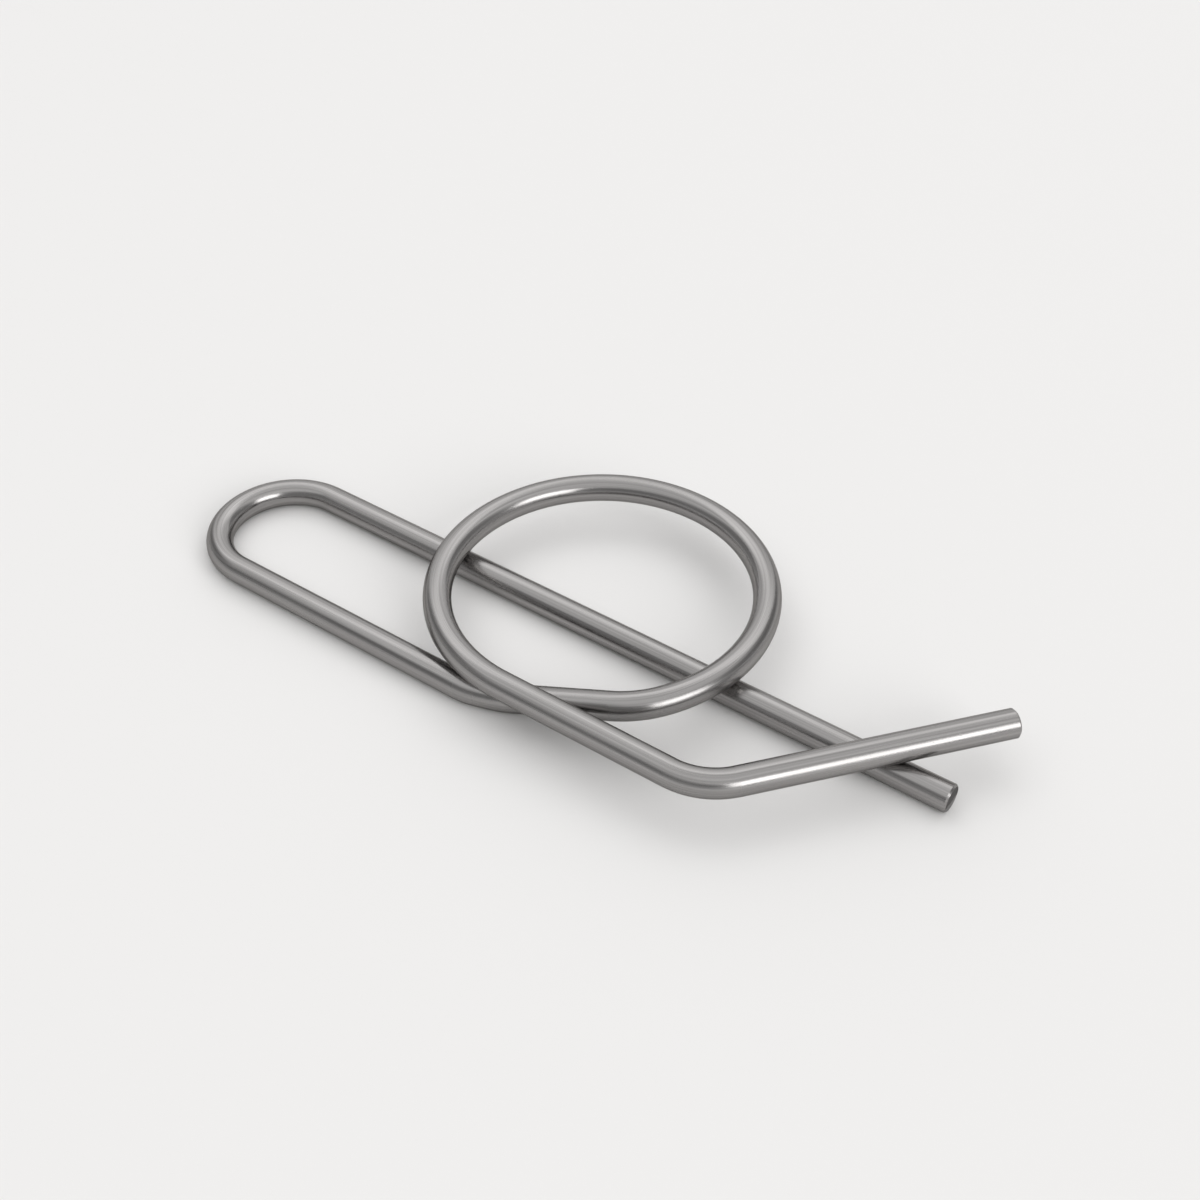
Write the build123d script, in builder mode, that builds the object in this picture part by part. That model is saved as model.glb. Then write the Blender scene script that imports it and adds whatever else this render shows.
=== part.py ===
from build123d import *
import os
from math import atan2, degrees, radians, sin, sqrt, tan

# A locking pin, bent from one length of round spring steel wire. The straight leg goes through a hole,
# a U bend brings the wire back beside it, the back leg runs into a ring of one turn, and a hook comes back
# across the leg near its tip. Lengths are in millimetres and angles in degrees.

# The wire
wire_diameter = 4.0
crossing_gap = 0.2  # air between two passes of the wire where one lies over the other
end_bevel = 0.25  # broken edge round both cut ends
bend_radius = 10.0  # centre line of the lead's and the hook's bends

# The straight leg and the U bend
leg_length = 104.0  # centre of the U bend to the tip
leg_spacing = 20.0  # straight leg to back leg, between their centre lines

# The ring
ring_inside_diameter = 42.0
ring_distance = 48.1  # centre of the U bend to the ring's axis, along the legs
lead_distance = 5.9  # the lead leaves the back leg's line this far before the ring's axis
lead_angle = 16.8  # lead to back leg

# The hook
hook_distance = 31.1  # ring's axis to the hook's corner, along the legs
hook_length = 42.3  # corner to tip
leg_overhang = 8.4  # the leg's tip stands this far past the place where the hook's arm crosses it

# The wire lies in two layers. The legs and the U bend lie on the surface below the pin, and the ring and the
# hook lie one wire higher, where they pass over the straight leg and over the foot of the lead.
wire_radius = wire_diameter / 2
layer_rise = wire_diameter + crossing_gap
low = wire_radius
high = low + layer_rise

ahead = Vector(1, 0, 0)
up = Vector(0, 0, 1)
lead_way = ahead.rotate(Axis.Z, lead_angle)
lead_side = lead_way.rotate(Axis.Z, 90)

# The hook's arm is aimed at the place where it crosses the straight leg.
hook_run = leg_length - leg_overhang - ring_distance - hook_distance
hook_way = Vector(hook_run, leg_spacing, 0).normalized()

# The origin is on that surface, under the middle of the pin's box. The ring's axis halves the box's width,
# because the ring touches the back leg's line and stands out past everything else on the other side.
u_bend_radius = leg_spacing / 2
ring_radius = ring_inside_diameter / 2 + wire_radius
hook_reach = ring_distance + hook_distance + (hook_length - end_bevel) * hook_way.X + wire_radius * hook_way.Y
reach_ahead = max(leg_length, hook_reach)
reach_behind = u_bend_radius + wire_radius
u_bend_x = (reach_behind - reach_ahead) / 2
ring_x = u_bend_x + ring_distance
back_y = -ring_radius
leg_y = back_y + leg_spacing

leg_tip = Vector(u_bend_x + leg_length, leg_y, low)
leg_foot = Vector(u_bend_x, leg_y, low)
back_foot = Vector(u_bend_x, back_y, low)

# In plan the lead and the ring are joined by a bend that touches the lead's line and the ring's inner side.
lead_corner = Vector(ring_x - lead_distance, back_y, low)
ring_centre = Vector(ring_x, 0, high)
to_axis = Vector(lead_distance, ring_radius, 0)
axis_along = to_axis.dot(lead_way)
axis_aside = to_axis.dot(lead_side)
past_axis = sqrt((ring_radius - bend_radius) ** 2 - (axis_aside - bend_radius) ** 2)
ring_start_way = (lead_way * past_axis + lead_side * (bend_radius - axis_aside)).normalized()
ring_start_angle = degrees(atan2(ring_start_way.Y, ring_start_way.X))
ring_end_angle = 270  # where the ring comes back to the back leg's line
ring_tangent = ring_start_way.rotate(Axis.Z, 90)


def set_back(radius, way_in, way_out):
    """Distance from a corner to the ends of the bend that rounds it."""
    return radius * tan(radians(way_in.get_angle(way_out) / 2))


# The lead climbs from the lower layer to the upper one in a straight ramp, between a foot and the ring's
# corner. The foot is placed so that the ramp's line passes the line of the shank above it at exactly one
# layer's distance.
ring_set_back = set_back(bend_radius, lead_way, ring_tangent)
lead_length = axis_along + past_axis + ring_set_back
ramp_length = sqrt(lead_length**2 - (layer_rise / sin(radians(lead_angle))) ** 2)
ramp_foot = lead_corner + lead_way * (lead_length - ramp_length)
ring_corner = lead_corner + lead_way * lead_length + up * layer_rise
ramp_way = (ring_corner - ramp_foot).normalized()

lead_set_back = set_back(bend_radius, ahead, lead_way)
foot_share = 0.5  # of the level lead, taken by the bend at the ramp's foot
foot_set_back = (lead_length - ramp_length - lead_set_back) * foot_share

hook_corner = Vector(ring_x + hook_distance, back_y, high)
hook_tip = hook_corner + hook_way * hook_length
hook_set_back = set_back(bend_radius, ahead, hook_way)


def bend(corner, way_in, way_out, length):
    """An arc that rounds a corner, from one length before it to the same length after it."""
    return TangentArc(corner - way_in * length, corner + way_out * length, tangent=way_in)


with BuildPart() as pin_wire:
    with BuildLine() as centre_line:
        leg = Line(leg_tip, leg_foot)
        u_bend = TangentArc(leg @ 1, back_foot, tangent=leg % 1)
        lead_bend = bend(lead_corner, ahead, lead_way, lead_set_back)
        Line(u_bend @ 1, lead_bend @ 0)  # back leg
        foot_bend = bend(ramp_foot, lead_way, ramp_way, foot_set_back)
        Line(lead_bend @ 1, foot_bend @ 0)  # level stretch of the lead
        ring_bend = bend(ring_corner, ramp_way, ring_tangent, ring_set_back)
        Line(foot_bend @ 1, ring_bend @ 0)  # ramp
        ring = CenterArc(ring_centre, ring_radius, ring_start_angle, ring_end_angle - ring_start_angle)
        hook_bend = bend(hook_corner, ahead, hook_way, hook_set_back)
        Line(ring @ 1, hook_bend @ 0)  # shank
        Line(hook_bend @ 1, hook_tip)  # hook's arm
    with BuildSketch(Plane(origin=leg @ 0, z_dir=leg % 0)):
        Circle(wire_radius)
    sweep()
    cut_ends = pin_wire.faces().filter_by(GeomType.PLANE)
    chamfer(cut_ends.edges(), length=end_bevel)

pin_wire.part.label = "pin_wire"
os.makedirs("parts", exist_ok=True)
export_step(pin_wire.part, "parts/pin_wire.step")
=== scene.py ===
from math import atan2, ceil, cos, pi, radians, sin, sqrt, tan
from typing import NamedTuple

import bpy
from bpy.props import FloatProperty, FloatVectorProperty, IntProperty, PointerProperty
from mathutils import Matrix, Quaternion, Vector


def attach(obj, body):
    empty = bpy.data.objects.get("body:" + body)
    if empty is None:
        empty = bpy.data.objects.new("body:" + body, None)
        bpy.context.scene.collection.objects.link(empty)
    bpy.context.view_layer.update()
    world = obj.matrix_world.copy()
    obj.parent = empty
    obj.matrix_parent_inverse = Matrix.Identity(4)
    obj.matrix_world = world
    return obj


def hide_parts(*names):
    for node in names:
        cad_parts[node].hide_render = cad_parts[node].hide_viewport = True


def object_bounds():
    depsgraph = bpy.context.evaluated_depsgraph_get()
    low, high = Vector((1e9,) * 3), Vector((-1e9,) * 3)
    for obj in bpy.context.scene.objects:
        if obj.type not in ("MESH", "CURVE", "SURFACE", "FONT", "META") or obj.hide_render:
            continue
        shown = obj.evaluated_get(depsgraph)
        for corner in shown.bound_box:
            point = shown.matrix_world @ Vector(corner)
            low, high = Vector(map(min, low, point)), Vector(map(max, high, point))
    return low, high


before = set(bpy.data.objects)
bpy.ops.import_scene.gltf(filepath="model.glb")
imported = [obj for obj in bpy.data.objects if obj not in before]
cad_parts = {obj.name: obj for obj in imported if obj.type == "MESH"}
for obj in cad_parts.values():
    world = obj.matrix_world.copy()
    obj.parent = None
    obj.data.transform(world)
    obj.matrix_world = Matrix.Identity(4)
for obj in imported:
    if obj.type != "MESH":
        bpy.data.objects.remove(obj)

bl_info = {
    "name": "Locking pin",
    "version": (1, 0, 0),
    "blender": (4, 5, 0),
    "location": "3D View > Sidebar > Locking pin",
    "description": "Bends the wire of a locking pin, gives it its finish and sets the stage",
    "category": "Object",
}

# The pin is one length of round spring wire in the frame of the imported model, in metres.
CAD_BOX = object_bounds()
SENSOR_WIDTH = 36  # of the camera, in millimetres
NEAREST_SHARE = 0.1  # of the view's distance: what is nearer to the camera isn't drawn
MM = 0.001
AHEAD = Vector((1, 0, 0))
UP = Vector((0, 0, 1))
RING_END = radians(270)  # where the ring comes back to the back leg's line
FOOT_SHARE = 0.5  # of the level lead, taken by the bend at the ramp's foot
CRISP_EDGE = radians(30)  # sharper edges than this aren't shaded smooth
WALL_CORNERS = 4  # of a face on the wire's wall, where a cut end has one corner for each side


def linear(hex_colour):
    """A colour written in sRGB as six hex digits, as the linear colour that Blender uses."""
    shares = [int(hex_colour[place:place + 2], 16) / 255 for place in (1, 3, 5)]
    return tuple(s / 12.92 if s <= 0.04045 else ((s + 0.055) / 1.055) ** 2.4 for s in shares)


def length(name, description, millimetres):
    """A length that a user can change, with its default in millimetres."""
    return FloatProperty(
        name=name, description=description, default=millimetres * MM, min=0, unit="LENGTH", precision=5
    )


def angle(name, description, degrees):
    """An angle that a user can change, with its default in degrees."""
    return FloatProperty(
        name=name, description=description, default=radians(degrees), subtype="ANGLE", unit="ROTATION"
    )


def colour(name, description, hex_colour):
    """A colour that a user can change, with its default in sRGB."""
    return FloatVectorProperty(
        name=name, description=description, default=linear(hex_colour), size=3, min=0, max=1, subtype="COLOR"
    )


def number(name, description, default, subtype="NONE"):
    """A plain number that a user can change."""
    return FloatProperty(name=name, description=description, default=default, min=0, subtype=subtype)


class WireSizes(bpy.types.PropertyGroup):
    """The sizes of the bent wire, as in the part's source."""

    wire_diameter: length("Wire diameter", "Diameter of the round wire", 4)
    crossing_gap: length("Crossing gap", "Air between two passes of the wire, one over the other", 0.2)
    end_bevel: length("End bevel", "Broken edge round both cut ends", 0.25)
    bend_radius: length("Bend radius", "Centre line radius of the lead's and the hook's bends", 10)
    leg_length: length("Leg length", "Centre of the U bend to the tip", 104)
    leg_spacing: length("Leg spacing", "Straight leg to back leg, between their centre lines", 20)
    ring_inside_diameter: length("Ring inside", "Inside diameter of the ring", 42)
    ring_distance: length("Ring distance", "Centre of the U bend to the ring's axis, along the legs", 48.1)
    lead_distance: length("Lead distance", "Start of the lead to the ring's axis, along the legs", 5.9)
    lead_angle: angle("Lead angle", "Lead to back leg", 16.8)
    hook_distance: length("Hook distance", "Ring's axis to the hook's corner, along the legs", 31.1)
    hook_length: length("Hook length", "Hook's corner to its tip", 42.3)
    leg_overhang: length("Leg overhang", "Leg's tip past the place where the hook's arm crosses it", 8.4)
    bend_squeeze: length("Bend squeeze", "How far a bend as tight as the wire's radius would flatten it", 0.6)
    sides: IntProperty(name="Sides", description="Faces round the wire", default=64, min=8)
    steps: IntProperty(name="Steps", description="Faces along each arc of a bend", default=16, min=4)


class WireFinish(bpy.types.PropertyGroup):
    """The finish of drawn spring steel wire."""

    bright_steel: colour("Bright steel", "Crests between the draw lines", "#A3A1A0")
    dull_steel: colour("Dull steel", "Bottoms of the draw lines", "#878584")
    steel_edge: colour("Steel edge", "Tint of the steel where it is seen edge on", "#C6C5C4")
    line_pitch: length("Line pitch", "Spacing of the draw lines", 0.4)
    line_length: length("Line length", "How far a draw line runs along the wire", 70)
    line_depth: length("Line depth", "Depth of the draw lines", 0.005)
    cloud_length: length("Cloud length", "Size of the dull patches along the wire", 18)
    cloud_width: length("Cloud width", "Size of the dull patches round the wire", 2.5)
    least_roughness: number("Least roughness", "Where the die has burnished the wire", 0.19, "FACTOR")
    most_roughness: number("Most roughness", "Where the drawing soap has left it dull", 0.31, "FACTOR")
    bend_polish: number("Bend polish", "Roughness lost inside a bend and gained outside it", 0.05, "FACTOR")
    nick_size: length("Nick size", "Size of the nicks from tumbling", 0.6)
    nick_depth: length("Nick depth", "Depth of the nicks from tumbling", 0.006)
    shorn_steel: colour("Shorn steel", "Smooth part of a cut end, where the shears went in", "#6B6968")
    torn_steel: colour("Torn steel", "Grainy part of a cut end, where the wire broke off", "#4F4D4C")
    tear_width: length("Tear width", "How far the border between the two parts wanders", 1.5)
    grain_size: length("Grain size", "Grain of the torn part of a cut end", 0.25)
    grain_depth: length("Grain depth", "Depth of that grain", 0.02)
    shorn_roughness: number("Shorn roughness", "Roughness of the smooth part of a cut end", 0.35, "FACTOR")
    torn_roughness: number("Torn roughness", "Roughness of the grainy part of a cut end", 0.6, "FACTOR")


class StageSettings(bpy.types.PropertyGroup):
    """The floor, the lights and the camera."""

    floor_colour: colour("Floor", "Pale paper floor", "#E8E7E6")
    floor_roughness: number("Floor roughness", "Roughness of the paper", 0.8, "FACTOR")
    floor_gloss: number("Floor gloss", "Specular level of the paper", 0.2, "FACTOR")
    floor_width: FloatProperty(name="Floor width", description="Side of the floor", default=4, unit="LENGTH")
    view_azimuth: angle("View azimuth", "Way round the pin, from its back leg towards its tip", 35.28)
    view_elevation: angle("View elevation", "Camera's height over the floor", 42.18)
    view_distance: length("View distance", "Camera to the middle of the pin", 231.9)
    lens: FloatProperty(name="Lens", description="Focal length of the camera", default=49.52, unit="CAMERA")
    key_level: number("Key level", "Radiance of the softbox behind the pin", 0.7)
    panel_level: number("Panel level", "Radiance of the smaller panel past the tip", 3.75)
    dome_level: number("Dome level", "Strength of the studio's own light", 0.78)


def add(tree, kind, inputs=None, **settings):
    """Adds a node with its settings. Each input gets a value, a socket, or a node's first output."""
    node = tree.nodes.new(kind)
    for name, value in settings.items():
        setattr(node, name, value)
    for name, value in (inputs or {}).items():
        if isinstance(name, int):
            socket = node.inputs[name]
        else:
            socket = next(s for s in node.inputs if s.enabled and s.name == name)
        if isinstance(value, bpy.types.Node):
            value = next(s for s in value.outputs if s.enabled)
        if isinstance(value, bpy.types.NodeSocket):
            tree.links.new(value, socket)
        else:
            socket.default_value = value
    return node


class WireRoute:
    """The wire's centre line, as a bending machine makes it: feed a length, then turn.

    Its knots are those of a Bezier curve: a place with the handles before and after it. A handle of a third
    keeps a straight stretch even, and the one in turn makes an arc that can't be told from a true one.
    """

    largest_arc = radians(45)

    def __init__(self, start, way):
        self.place = start.copy()
        self.way = way.copy()
        self.knots = [[self.place, self.place, self.place]]

    def reach(self, place, way, handle):
        """Goes on to the next knot, with handles of one length on both sides of the stretch."""
        self.knots[-1][2] = self.place + self.way * handle
        self.knots.append([place - way * handle, place, place + way * handle])
        self.place = place
        self.way = way

    def feed(self, run):
        """Straight on."""
        self.reach(self.place + self.way * run, self.way, run / 3)

    def turn(self, radius, swing, axis):
        """Round an axis that is square to the wire, in equal arcs."""
        count = ceil(swing / self.largest_arc)
        arc = swing / count
        step = Quaternion(axis, arc)
        centre = self.place + axis.cross(self.way) * radius
        for _ in range(count):
            place = centre + step @ (self.place - centre)
            self.reach(place, step @ self.way, radius * tan(arc / 4) * 4 / 3)

    def bend(self, radius, way):
        """Turns the wire into another way, with a bend of this radius."""
        self.turn(radius, self.way.angle(way), self.way.cross(way).normalized())


def set_back(radius, way_in, way_out):
    """Distance from a corner to the ends of the bend that rounds it."""
    return radius * tan(way_in.angle(way_out) / 2)


def pin_route(sizes):
    """The centre line from the leg's tip to the hook's tip, worked out as in the part's source."""
    wire_radius = sizes.wire_diameter / 2
    layer_rise = sizes.wire_diameter + sizes.crossing_gap
    lead_way = Quaternion(UP, sizes.lead_angle) @ AHEAD
    lead_side = UP.cross(lead_way)
    hook_run = sizes.leg_length - sizes.leg_overhang - sizes.ring_distance - sizes.hook_distance
    hook_way = Vector((hook_run, sizes.leg_spacing, 0)).normalized()

    # The box's middle is over the origin, and the ring's axis halves its width.
    ring_radius = sizes.ring_inside_diameter / 2 + wire_radius
    hook_arm_reach = (sizes.hook_length - sizes.end_bevel) * hook_way.x + wire_radius * hook_way.y
    reach_ahead = max(sizes.leg_length, sizes.ring_distance + sizes.hook_distance + hook_arm_reach)
    u_bend_x = (sizes.leg_spacing / 2 + wire_radius - reach_ahead) / 2
    leg_tip = Vector((u_bend_x + sizes.leg_length, sizes.leg_spacing - ring_radius, wire_radius))

    # The lead touches the ring from inside through a bend, and climbs one layer on the way.
    to_axis = Vector((sizes.lead_distance, ring_radius, 0))
    axis_along = to_axis.dot(lead_way)
    axis_aside = to_axis.dot(lead_side)
    bend_aside = axis_aside - sizes.bend_radius
    past_axis = sqrt((ring_radius - sizes.bend_radius) ** 2 - bend_aside**2)
    ring_start_way = (lead_way * past_axis - lead_side * bend_aside).normalized()
    ring_tangent = UP.cross(ring_start_way)
    ring_sweep = RING_END - atan2(ring_start_way.y, ring_start_way.x)

    ring_set_back = set_back(sizes.bend_radius, lead_way, ring_tangent)
    lead_length = axis_along + past_axis + ring_set_back
    ramp_length = sqrt(lead_length**2 - (layer_rise / sin(sizes.lead_angle)) ** 2)
    ramp_way = (lead_way * ramp_length + UP * layer_rise).normalized()
    ramp_run = sqrt(ramp_length**2 + layer_rise**2)
    lead_set_back = set_back(sizes.bend_radius, AHEAD, lead_way)
    level_run = lead_length - ramp_length - lead_set_back
    foot_set_back = level_run * FOOT_SHARE
    hook_set_back = set_back(sizes.bend_radius, AHEAD, hook_way)

    route = WireRoute(leg_tip, -AHEAD)
    route.feed(sizes.end_bevel)
    route.feed(sizes.leg_length - sizes.end_bevel)
    route.turn(sizes.leg_spacing / 2, pi, UP)
    route.feed(sizes.ring_distance - sizes.lead_distance - lead_set_back)
    route.bend(sizes.bend_radius, lead_way)
    route.feed(level_run - foot_set_back)
    route.bend(foot_set_back / tan(lead_way.angle(ramp_way) / 2), ramp_way)
    route.feed(ramp_run - foot_set_back - ring_set_back)
    route.bend(ring_set_back / tan(ramp_way.angle(ring_tangent) / 2), ring_tangent)
    route.turn(ring_radius, ring_sweep, UP)
    route.feed(sizes.hook_distance - hook_set_back)
    route.bend(sizes.bend_radius, hook_way)
    route.feed(sizes.hook_length - hook_set_back - sizes.end_bevel)
    route.feed(sizes.end_bevel)
    return route


def draw_route(route, sizes):
    """The centre line as a curve. Its radius is a share of the wire's, and drops at both bevelled ends."""
    curve = bpy.data.curves.new("wire_route", "CURVE")
    curve.dimensions = "3D"
    spline = curve.splines.new("BEZIER")
    spline.bezier_points.add(len(route.knots) - 1)
    spline.resolution_u = sizes.steps
    for point, knot in zip(spline.bezier_points, route.knots):
        point.handle_left_type = "FREE"
        point.handle_right_type = "FREE"
        point.handle_left, point.co, point.handle_right = knot
        point.radius = 1
    for point in (spline.bezier_points[0], spline.bezier_points[-1]):
        point.radius = 1 - sizes.end_bevel / (sizes.wire_diameter / 2)
    return curve


def beside(tree, field, offset):
    """What a field has at the point of the route that lies this many points further on."""
    point = add(tree, "GeometryNodeOffsetPointInCurve", {"Offset": offset}).outputs["Point Index"]
    return add(tree, "GeometryNodeFieldAtIndex", {"Value": field, "Index": point}, data_type="FLOAT_VECTOR")


def wire_tree():
    """Geometry nodes that draw round wire along a route, squeeze it in its bends and cut its ends."""
    tree = bpy.data.node_groups.new("Round wire", "GeometryNodeTree")
    face = tree.interface
    face.new_socket("Route", in_out="INPUT", socket_type="NodeSocketGeometry")
    for name in ("Wire radius", "Bend squeeze"):
        face.new_socket(name, in_out="INPUT", socket_type="NodeSocketFloat").subtype = "DISTANCE"
    face.new_socket("Sides", in_out="INPUT", socket_type="NodeSocketInt")
    for name in ("Wire finish", "End finish"):
        face.new_socket(name, in_out="INPUT", socket_type="NodeSocketMaterial")
    face.new_socket("Wire", in_out="OUTPUT", socket_type="NodeSocketGeometry")
    given = add(tree, "NodeGroupInput").outputs

    # Each point of the route keeps its way along the wire and how it is bent: a vector to the inside of
    # the bend, as long as the wire's radius over the bend's radius.
    route = add(tree, "GeometryNodeResampleCurve", {"Curve": given["Route"]}, mode="EVALUATED")
    along = add(tree, "GeometryNodeSplineParameter").outputs["Length"]
    position = add(tree, "GeometryNodeInputPosition")
    tangent = add(tree, "GeometryNodeInputTangent")
    turn = add(tree, "ShaderNodeVectorMath", {
        0: beside(tree, tangent, 1), 1: beside(tree, tangent, -1),
    }, operation="SUBTRACT")
    run = add(tree, "ShaderNodeVectorMath", {
        0: beside(tree, position, 1), 1: beside(tree, position, -1),
    }, operation="DISTANCE").outputs["Value"]
    radius_per_run = add(tree, "ShaderNodeMath", {0: given["Wire radius"], 1: run}, operation="DIVIDE")
    bend = add(tree, "ShaderNodeVectorMath", {0: turn, "Scale": radius_per_run}, operation="SCALE")
    for name, kind, value in (("along", "FLOAT", along), ("bend", "FLOAT_VECTOR", bend)):
        route = add(
            tree, "GeometryNodeStoreNamedAttribute", {"Geometry": route, "Name": name, "Value": value},
            data_type=kind, domain="POINT",
        )

    # The section is drawn round, and keeps its own place so that a pattern has no seam round the wire.
    section = add(tree, "GeometryNodeCurvePrimitiveCircle", {
        "Resolution": given["Sides"], "Radius": given["Wire radius"],
    })
    section = add(
        tree, "GeometryNodeStoreNamedAttribute", {"Geometry": section, "Name": "section", "Value": position},
        data_type="FLOAT_VECTOR", domain="POINT",
    )
    taper = add(tree, "GeometryNodeInputRadius")
    wire = add(tree, "GeometryNodeCurveToMesh", {
        "Curve": route, "Profile Curve": section, "Scale": taper, "Fill Caps": True,
    })

    # Material coordinates of the straight wire, before it was bent: along it and over its section.
    kept = {
        name: add(tree, "GeometryNodeInputNamedAttribute", {"Name": name}, data_type=kind)
        for name, kind in (("along", "FLOAT"), ("bend", "FLOAT_VECTOR"), ("section", "FLOAT_VECTOR"))
    }
    across = add(tree, "ShaderNodeSeparateXYZ", {"Vector": kept["section"]})
    drawn = add(tree, "ShaderNodeCombineXYZ", {
        "X": kept["along"], "Y": across.outputs["X"], "Z": across.outputs["Y"],
    })
    normal = add(tree, "GeometryNodeInputNormal")
    inside = add(
        tree, "ShaderNodeVectorMath", {0: normal, 1: kept["bend"]}, operation="DOT_PRODUCT"
    ).outputs["Value"]
    for name, kind, value in (("drawn", "FLOAT_VECTOR", drawn), ("inside", "FLOAT", inside)):
        wire = add(
            tree, "GeometryNodeStoreNamedAttribute", {"Geometry": wire, "Name": name, "Value": value},
            data_type=kind, domain="POINT",
        )

    # A bend is a little flatter on its inside and its outside.
    flatter = add(tree, "ShaderNodeMath", {0: inside, 1: inside}, operation="MULTIPLY")
    squeeze = add(tree, "ShaderNodeMath", {0: flatter, 1: given["Bend squeeze"]}, operation="MULTIPLY")
    inwards = add(tree, "ShaderNodeMath", {0: squeeze, 1: -1}, operation="MULTIPLY")
    offset = add(tree, "ShaderNodeVectorMath", {0: normal, "Scale": inwards}, operation="SCALE")
    wire = add(tree, "GeometryNodeSetPosition", {"Geometry": wire, "Offset": offset})

    # The bevels' edges are crisp, and the only faces with more corners than the wall's are the cut ends.
    wire = add(tree, "GeometryNodeSetShadeSmooth", {"Geometry": wire, "Shade Smooth": True})
    crisp = add(tree, "FunctionNodeCompare", {
        "A": add(tree, "GeometryNodeInputMeshEdgeAngle"), "B": CRISP_EDGE,
    }, operation="GREATER_THAN")
    wire = add(
        tree, "GeometryNodeSetShadeSmooth", {"Geometry": wire, "Selection": crisp, "Shade Smooth": False},
        domain="EDGE",
    )
    cut = add(tree, "FunctionNodeCompare", {
        "A": add(tree, "GeometryNodeInputMeshFaceNeighbors").outputs["Vertex Count"], "B": WALL_CORNERS,
    }, data_type="INT", operation="GREATER_THAN")
    wire = add(tree, "GeometryNodeRealizeInstances", {"Geometry": wire})
    wire = add(tree, "GeometryNodeSetMaterial", {"Geometry": wire, "Material": given["Wire finish"]})
    wire = add(tree, "GeometryNodeSetMaterial", {
        "Geometry": wire, "Selection": cut, "Material": given["End finish"],
    })
    add(tree, "NodeGroupOutput", {"Wire": wire})
    return tree


def new_material(name):
    """A material with an empty node tree."""
    material = bpy.data.materials.new(name)
    material.use_nodes = True
    material.node_tree.nodes.clear()
    return material, material.node_tree


# The steel's patterns have finer layers, each weaker than the one before. Their values lie round a half, and
# a span is the stretch of them over which a pattern goes from one end to the other.
FINER_LAYERS = 3
LAYER_STRENGTH = 0.6
LINE_SPAN = (0.3, 0.7)
DULL_SPAN = (0.7, 1.3)  # of the lines and the clouds added up
NICK_SPAN = (0.27, 0.32)  # the deepest dips alone


def wire_grain(tree, run, width):
    """A pattern on the wire's own coordinates, of one size along the wire and another over its section."""
    drawn = add(tree, "ShaderNodeAttribute", attribute_name="drawn").outputs["Vector"]
    place = add(tree, "ShaderNodeMapping", {"Vector": drawn, "Scale": (1 / run, 1 / width, 1 / width)})
    return add(tree, "ShaderNodeTexNoise", {
        "Vector": place, "Scale": 1, "Detail": FINER_LAYERS, "Roughness": LAYER_STRENGTH,
    })


def drawn_spring_steel(finish, tightest):
    """Spring steel wire, drawn bright through a die, bent cold and tumbled."""
    # The die leaves fine lines along the wire, brighter on their crests, and the drawing soap leaves patches
    # that are a little duller. Real lines are a few hundredths of a millimetre apart, too fine to show, so
    # they are drawn coarser. The bending pin presses the inside of a bend smooth, and the outside is
    # stretched dull. Tumbling, which breaks the edges of the ends, leaves a few shallow nicks.
    material, tree = new_material("drawn_spring_steel")
    lines = wire_grain(tree, finish.line_length, finish.line_pitch)
    clouds = wire_grain(tree, finish.cloud_length, finish.cloud_width)
    crests = add(tree, "ShaderNodeMapRange", {
        "Value": lines, "From Min": LINE_SPAN[0], "From Max": LINE_SPAN[1],
    })
    steel_colour = add(tree, "ShaderNodeMix", {
        "Factor": crests, "A": (*finish.dull_steel, 1), "B": (*finish.bright_steel, 1),
    }, data_type="RGBA")
    dullness = add(tree, "ShaderNodeMath", {0: lines, 1: clouds}, operation="ADD")
    drawn_roughness = add(tree, "ShaderNodeMapRange", {
        "Value": dullness, "From Min": DULL_SPAN[0], "From Max": DULL_SPAN[1],
        "To Min": finish.least_roughness, "To Max": finish.most_roughness,
    })
    inside = add(tree, "ShaderNodeAttribute", attribute_name="inside").outputs["Fac"]
    bend_roughness = add(tree, "ShaderNodeMapRange", {
        "Value": inside, "From Min": -tightest, "From Max": tightest,
        "To Min": finish.bend_polish, "To Max": -finish.bend_polish,
    })
    roughness = add(tree, "ShaderNodeMath", {0: drawn_roughness, 1: bend_roughness}, operation="ADD")
    dips = wire_grain(tree, finish.nick_size, finish.nick_size)
    nicks = add(tree, "ShaderNodeMapRange", {
        "Value": dips, "From Min": NICK_SPAN[0], "From Max": NICK_SPAN[1],
    })
    line_bump = add(tree, "ShaderNodeBump", {"Strength": 1, "Distance": finish.line_depth, "Height": lines})
    bump = add(tree, "ShaderNodeBump", {
        "Strength": 1, "Distance": finish.nick_depth, "Height": nicks, "Normal": line_bump,
    })
    steel = add(tree, "ShaderNodeBsdfPrincipled", {
        "Base Color": steel_colour, "Metallic": 1, "Roughness": roughness, "Normal": bump,
        "Specular Tint": (*finish.steel_edge, 1),
    })
    add(tree, "ShaderNodeOutputMaterial", {"Surface": steel})
    return material


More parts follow.
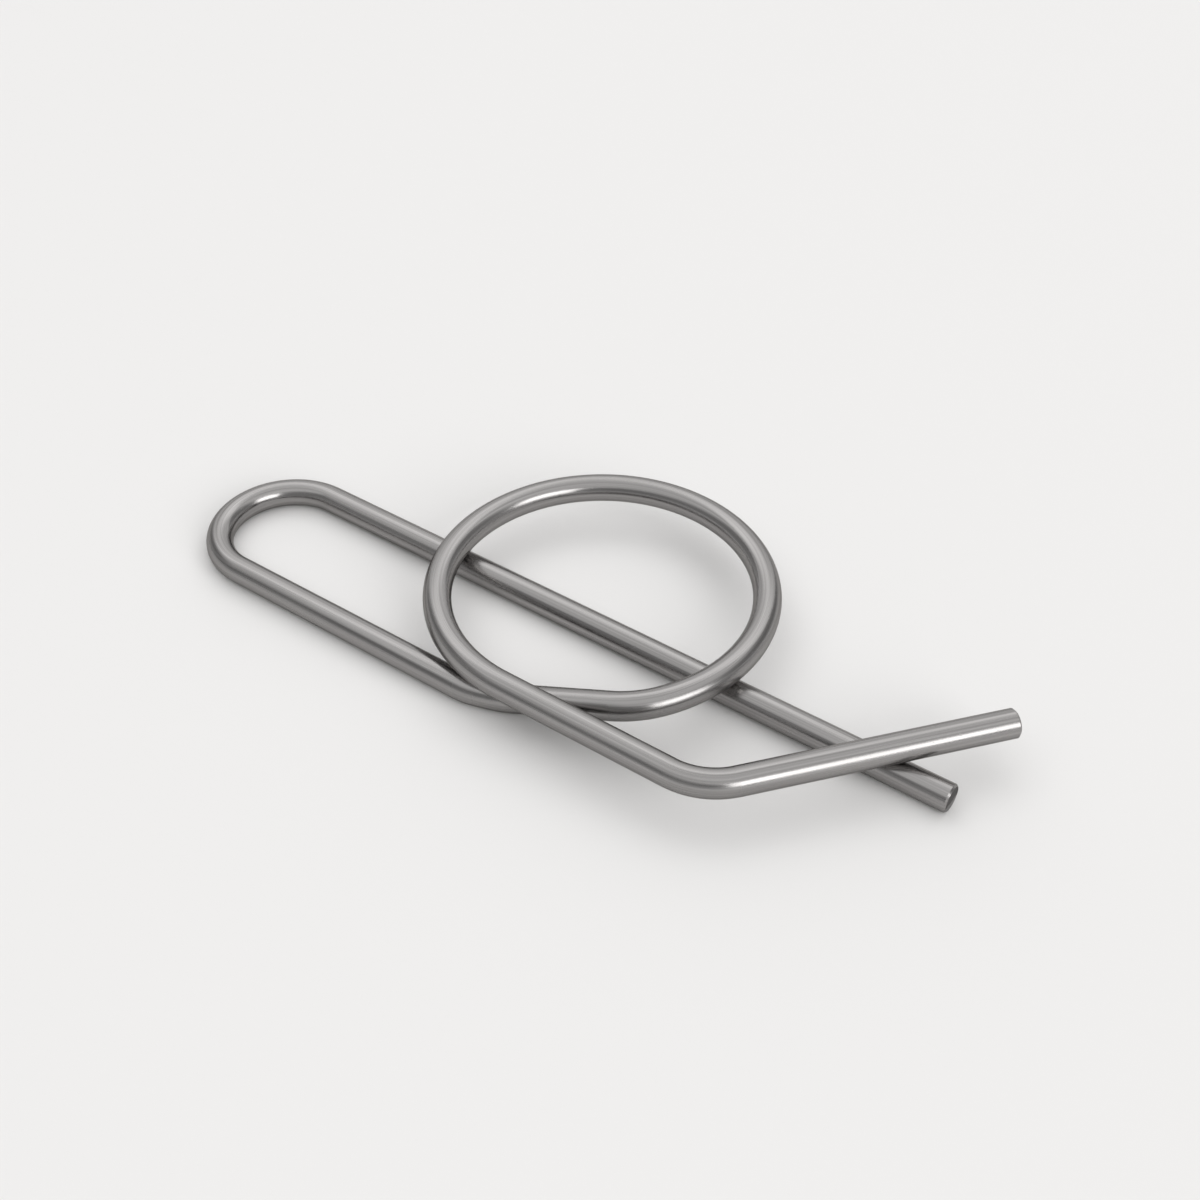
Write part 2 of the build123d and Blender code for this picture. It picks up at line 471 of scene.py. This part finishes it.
def cropped_spring_steel(finish):
    """The same steel on the cut ends, as the shears leave it."""
    # The blades go in smoothly over part of the face, and the rest tears off grainy and darker.
    material, tree = new_material("cropped_spring_steel")
    drawn = add(tree, "ShaderNodeAttribute", attribute_name="drawn").outputs["Vector"]
    grain = wire_grain(tree, finish.grain_size, finish.grain_size)
    tear = wire_grain(tree, finish.tear_width, finish.tear_width)
    height = add(tree, "ShaderNodeSeparateXYZ", {"Vector": drawn}).outputs["Z"]
    border = add(tree, "ShaderNodeMath", {0: tear, 1: finish.tear_width, 2: height}, operation="MULTIPLY_ADD")
    shorn = add(tree, "ShaderNodeMapRange", {
        "Value": border, "From Min": finish.tear_width - finish.grain_size, "From Max": finish.tear_width,
    })
    steel_colour = add(tree, "ShaderNodeMix", {
        "Factor": shorn, "A": (*finish.torn_steel, 1), "B": (*finish.shorn_steel, 1),
    }, data_type="RGBA")
    roughness = add(tree, "ShaderNodeMapRange", {
        "Value": shorn, "To Min": finish.torn_roughness, "To Max": finish.shorn_roughness,
    })
    bump = add(tree, "ShaderNodeBump", {"Strength": 1, "Distance": finish.grain_depth, "Height": grain})
    steel = add(tree, "ShaderNodeBsdfPrincipled", {
        "Base Color": steel_colour, "Metallic": 1, "Roughness": roughness, "Normal": bump,
    })
    add(tree, "ShaderNodeOutputMaterial", {"Surface": steel})
    return material


class PIN_OT_bend_wire(bpy.types.Operator):
    """Bends the wire of the pin and gives it its finish"""

    bl_idname = "locking_pin.bend_wire"
    bl_label = "Bend the wire"

    def execute(self, context):
        sizes = context.scene.pin_sizes
        finish = context.scene.pin_finish
        route = bpy.data.objects.new("wire_route", draw_route(pin_route(sizes), sizes))
        context.scene.collection.objects.link(route)
        tree = wire_tree()
        modifier = route.modifiers.new("Round wire", "NODES")
        modifier.node_group = tree
        values = {
            "Wire radius": sizes.wire_diameter / 2,
            "Bend squeeze": sizes.bend_squeeze,
            "Sides": sizes.sides,
            "Wire finish": drawn_spring_steel(finish, sizes.wire_diameter / 2 / sizes.bend_radius),
            "End finish": cropped_spring_steel(finish),
        }
        for socket in tree.interface.items_tree:
            if socket.in_out == "INPUT" and socket.name in values:
                modifier[socket.identifier] = values[socket.name]
        evaluated = route.evaluated_get(context.evaluated_depsgraph_get())
        mesh = bpy.data.meshes.new_from_object(evaluated)
        route.modifiers.remove(modifier)
        bpy.data.objects.remove(route)
        if not mesh.polygons:
            raise RuntimeError("the wire has no faces")
        wire = bpy.data.objects.new("bent_wire", mesh)
        context.scene.collection.objects.link(wire)
        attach(wire, "root")
        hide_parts("pin_wire")
        return {"FINISHED"}


def aim(place_object, target, azimuth, elevation, distance):
    """Puts a light or camera at a distance from a target, looking at it."""
    back = Vector((
        sin(azimuth) * cos(elevation),
        -cos(azimuth) * cos(elevation),
        sin(elevation),
    ))
    place_object.location = target + back * distance
    place_object.rotation_euler = back.to_track_quat("Z", "Y").to_euler()


class Softbox(NamedTuple):
    """A flat rectangular light that faces the pin, and where it stands."""

    name: str
    azimuth: float
    elevation: float
    distance: float
    width: float
    height: float

    def hang(self, context, target, level):
        """Puts the light in the scene, at one radiance all over."""
        light = bpy.data.lights.new(self.name, "AREA")
        light.shape = "RECTANGLE"
        light.size = self.width
        light.size_y = self.height
        light.energy = level * pi * self.width * self.height
        lamp = bpy.data.objects.new(self.name, light)
        context.scene.collection.objects.link(lamp)
        aim(lamp, target, self.azimuth, self.elevation, self.distance)


# A broad softbox behind the pin lights the tops of the wire, and a smaller panel past its tip gives the
# hook's arm and the bends their white bands. Both are large and far off, so that they light the floor evenly.
BACK_SOFTBOX = Softbox(
    name="back_softbox", azimuth=radians(215), elevation=radians(38), distance=10.8, width=18, height=11.4
)
TIP_PANEL = Softbox(
    name="tip_panel", azimuth=radians(76), elevation=radians(26.5), distance=9, width=6.3, height=4.2
)

# The studio's own light: its level at some heights, from the horizon at 0 to straight up at 1. A pale wall
# stands low all round, the space above it is dim, and the ceiling is the brightest.
STUDIO_LIGHT = ((0, 1), (0.1, 0.95), (0.2, 0.46), (0.55, 0.42), (0.72, 1.4), (1, 1.3))


def floor_paper(stage):
    """Pale matt paper."""
    material, tree = new_material("floor_paper")
    paper = add(tree, "ShaderNodeBsdfPrincipled", {
        "Base Color": (*stage.floor_colour, 1),
        "Roughness": stage.floor_roughness,
        "Specular IOR Level": stage.floor_gloss,
    })
    add(tree, "ShaderNodeOutputMaterial", {"Surface": paper})
    return material


def lay_floor(context, stage, height):
    """Lays a square of paper under the pin."""
    half = stage.floor_width / 2
    corners = [(-half, -half, height), (half, -half, height), (half, half, height), (-half, half, height)]
    mesh = bpy.data.meshes.new("floor")
    mesh.from_pydata(corners, [], [range(len(corners))])
    mesh.materials.append(floor_paper(stage))
    floor = bpy.data.objects.new("floor", mesh)
    context.scene.collection.objects.link(floor)


def light_studio(context, stage):
    """Lights the world by height alone, the same all round."""
    world = bpy.data.worlds.new("studio")
    context.scene.world = world
    world.use_nodes = True
    tree = world.node_tree
    tree.nodes.clear()
    way = add(tree, "ShaderNodeTexCoord").outputs["Generated"]
    height = add(tree, "ShaderNodeSeparateXYZ", {"Vector": way}).outputs["Z"]
    dome = add(tree, "ShaderNodeValToRGB", {"Fac": height})
    levels = dome.color_ramp.elements
    while len(levels) < len(STUDIO_LIGHT):
        levels.new(1)
    for element, (place, level) in zip(levels, STUDIO_LIGHT):
        element.position = place
        element.color = (level, level, level, 1)
    light = add(tree, "ShaderNodeBackground", {"Color": dome, "Strength": stage.dome_level})
    add(tree, "ShaderNodeOutputWorld", {"Surface": light})


def place_camera(context, stage, target):
    """Looks at the pin from the photograph's side."""
    lens = bpy.data.cameras.new("camera")
    lens.sensor_width = SENSOR_WIDTH
    lens.lens = stage.lens
    lens.clip_start = stage.view_distance * NEAREST_SHARE
    camera = bpy.data.objects.new("camera", lens)
    context.scene.collection.objects.link(camera)
    aim(camera, target, stage.view_azimuth, stage.view_elevation, stage.view_distance)
    context.scene.camera = camera


class PIN_OT_set_stage(bpy.types.Operator):
    """Sets the floor, the lights and the camera"""

    bl_idname = "locking_pin.set_stage"
    bl_label = "Set the stage"

    def execute(self, context):
        stage = context.scene.pin_stage
        low, high = CAD_BOX
        middle = (low + high) / 2
        lay_floor(context, stage, low.z)
        light_studio(context, stage)
        BACK_SOFTBOX.hang(context, middle, stage.key_level)
        TIP_PANEL.hang(context, middle, stage.panel_level)
        place_camera(context, stage, middle)
        context.scene.view_settings.view_transform = "Standard"
        return {"FINISHED"}


class PIN_PT_panel(bpy.types.Panel):
    """The pin's operators, with the sizes and colours that they use"""

    bl_idname = "PIN_PT_panel"
    bl_label = "Locking pin"
    bl_space_type = "VIEW_3D"
    bl_region_type = "UI"
    bl_category = "Locking pin"

    def draw(self, context):
        for operator, settings in (
            (PIN_OT_bend_wire, (context.scene.pin_sizes, context.scene.pin_finish)),
            (PIN_OT_set_stage, (context.scene.pin_stage,)),
        ):
            box = self.layout.box()
            box.operator(operator.bl_idname)
            for group in settings:
                for name in group.bl_rna.properties.keys():
                    if name not in ("rna_type", "name"):
                        box.prop(group, name)


GROUPS = {"pin_sizes": WireSizes, "pin_finish": WireFinish, "pin_stage": StageSettings}
CLASSES = (*GROUPS.values(), PIN_OT_bend_wire, PIN_OT_set_stage, PIN_PT_panel)


def register():
    for each in CLASSES:
        bpy.utils.register_class(each)
    for name, group in GROUPS.items():
        setattr(bpy.types.Scene, name, PointerProperty(type=group))


def unregister():
    for name in GROUPS:
        delattr(bpy.types.Scene, name)
    for each in reversed(CLASSES):
        bpy.utils.unregister_class(each)


def main():
    register()
    bpy.ops.locking_pin.bend_wire()
    bpy.ops.locking_pin.set_stage()


if __name__ == "__main__":
    main()
